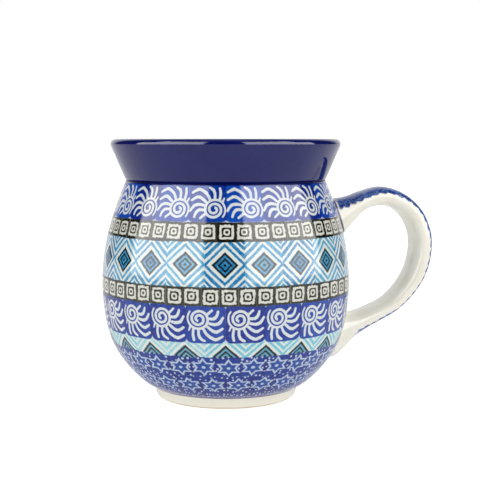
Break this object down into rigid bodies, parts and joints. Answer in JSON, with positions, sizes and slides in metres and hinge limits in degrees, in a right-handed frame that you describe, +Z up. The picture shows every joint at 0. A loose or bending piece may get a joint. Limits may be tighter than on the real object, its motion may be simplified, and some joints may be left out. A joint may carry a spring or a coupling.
{
  "type": "mug",
  "caption": "Round-bellied stoneware mug with a flared cobalt collar, one loop handle and a stamped geometric blue decoration.",
  "frame": {"origin": "centre of the standing ring, on the plane the mug stands on", "axes": "+Z up along the axis of the cup, +X towards the handle"},
  "size_m": [0.1342, 0.098, 0.102],
  "materials": {
    "stoneware": "matte unglazed stoneware",
    "slip": "matte unglazed slip",
    "cobalt_glaze": "gloss cobalt glaze",
    "decorated_glaze": "gloss clear glaze over stamped underglaze decoration",
    "clear_glaze": "gloss clear glaze over cream stoneware",
    "handle_glaze": "gloss clear glaze with a sponged blue band"
  },
  "bodies": {
    "root": {"stoneware_body": "stoneware", "handle": "stoneware", "upper_handle_joint": "slip", "lower_handle_joint": "slip", "collar_glaze": "cobalt_glaze", "belly_glaze": "decorated_glaze", "liner_glaze": "clear_glaze", "base_glaze": "clear_glaze", "handle_glaze": "handle_glaze"}
  },
  "joints": []
}
